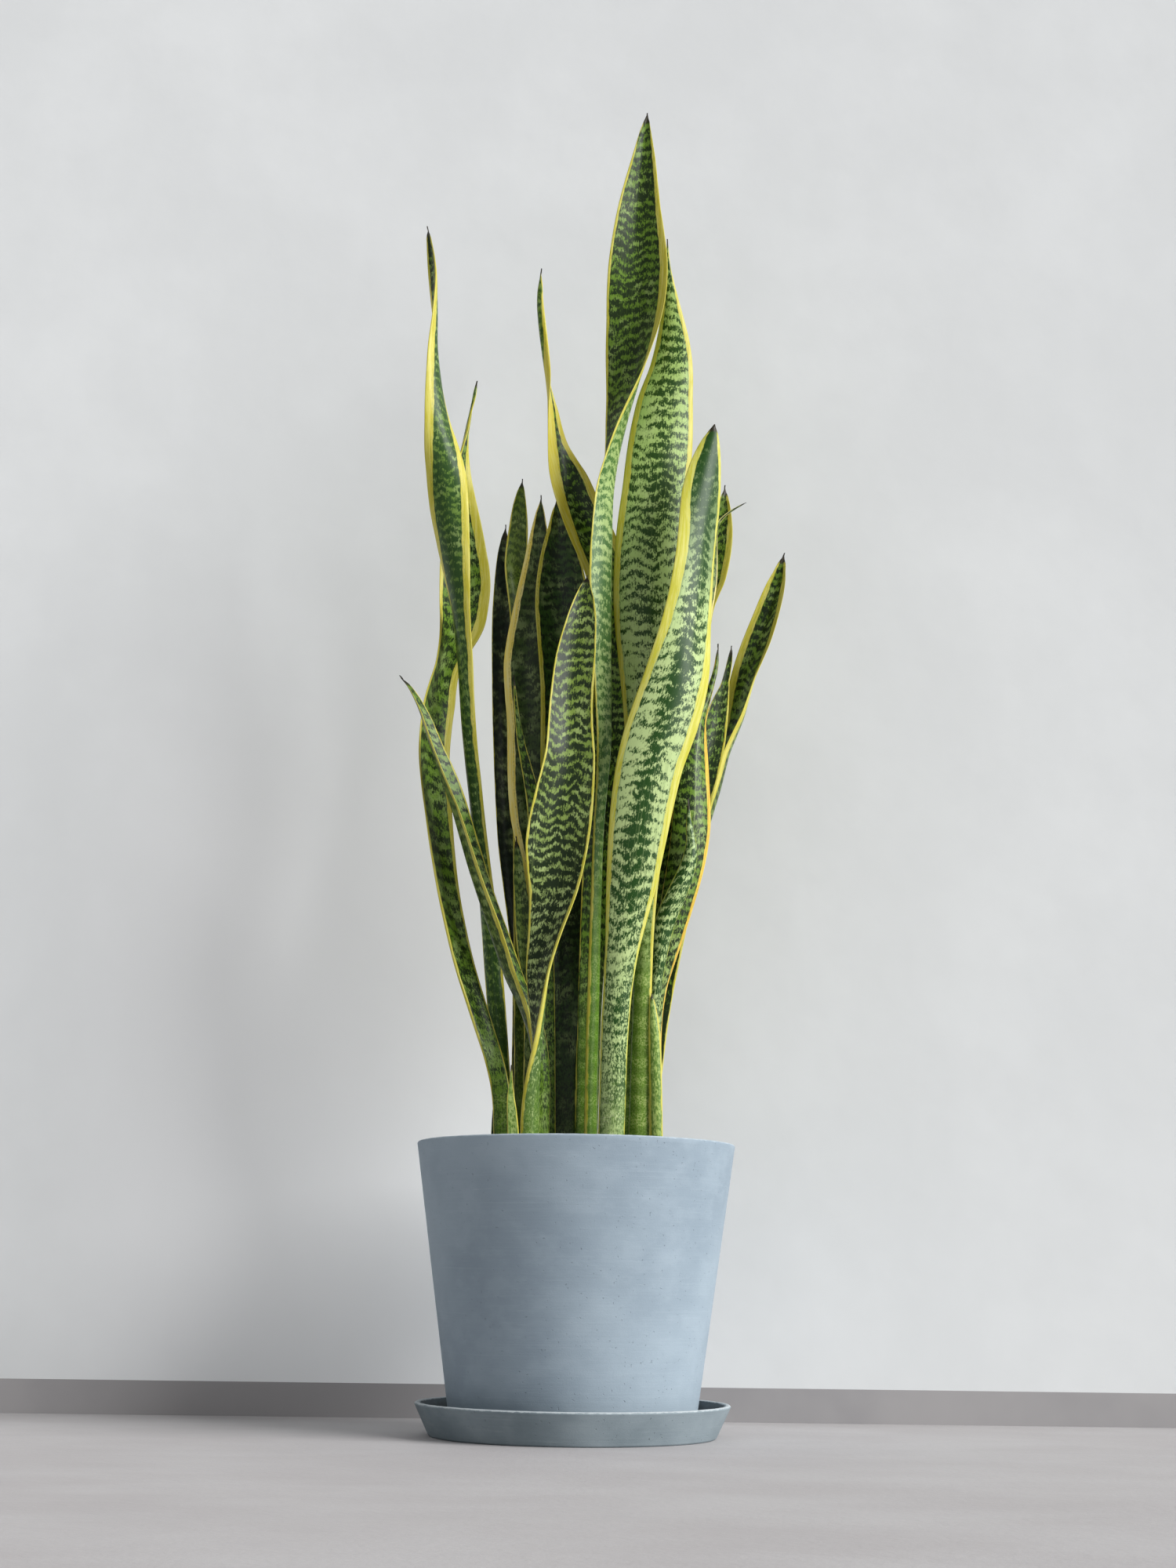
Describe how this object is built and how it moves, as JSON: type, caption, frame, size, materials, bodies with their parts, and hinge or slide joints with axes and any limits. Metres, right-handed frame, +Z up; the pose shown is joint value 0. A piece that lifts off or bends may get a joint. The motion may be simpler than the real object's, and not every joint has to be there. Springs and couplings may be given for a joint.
{
  "type": "potted snake plant",
  "caption": "Tall upright houseplant with sword-shaped banded leaves and pale margins, growing in soil in a tapered round pot that stands in a shallow saucer.",
  "frame": {"origin": "centre of the saucer's underside, on the surface that the plant stands on", "axes": "+Z up along the pot's axis, -Y towards the viewer in front, +X to the viewer's right"},
  "size_m": [0.3885, 0.3, 1.354],
  "materials": {
    "saucer_composite": "matte blue-grey mineral-filled composite with soft mottling",
    "pot_composite": "matte blue-grey mineral-filled composite with soft mottling and fine pits",
    "potting_soil": "loose dark crumbly soil",
    "green_leaf": "waxy satin leaf, mid green with dark wavy cross bands and yellow margins",
    "dark_leaf": "waxy satin leaf, very dark green with faint bands and yellow margins",
    "pale_leaf": "waxy satin leaf, pale mint green with darker wavy cross bands and yellow margins",
    "young_shoot": "smooth pale young growth with faint green mottling"
  },
  "bodies": {
    "root": {"saucer": "saucer_composite", "pot": "pot_composite", "soil": "potting_soil", "leaf_tall_centre": "green_leaf", "leaf_tall_right": "green_leaf", "leaf_front_broad": "pale_leaf", "leaf_front_dark": "green_leaf", "leaf_left_tall": "green_leaf", "leaf_left_bowed": "green_leaf", "leaf_left_arching": "green_leaf", "leaf_back_left_upper": "dark_leaf", "leaf_back_left_strip": "dark_leaf", "leaf_back_shadow": "dark_leaf", "leaf_back_wide": "dark_leaf", "leaf_twisted_yellow": "green_leaf", "leaf_right_behind": "green_leaf", "leaf_hooked_tip": "green_leaf", "leaf_right_outer": "green_leaf", "leaf_right_mid": "green_leaf", "leaf_right_gold_edge": "green_leaf", "leaf_right_low": "pale_leaf", "leaf_inner_small": "green_leaf", "leaf_grey_small": "green_leaf", "shoot_left": "young_shoot", "spike_left": "young_shoot", "shoot_right": "young_shoot"}
  },
  "joints": []
}
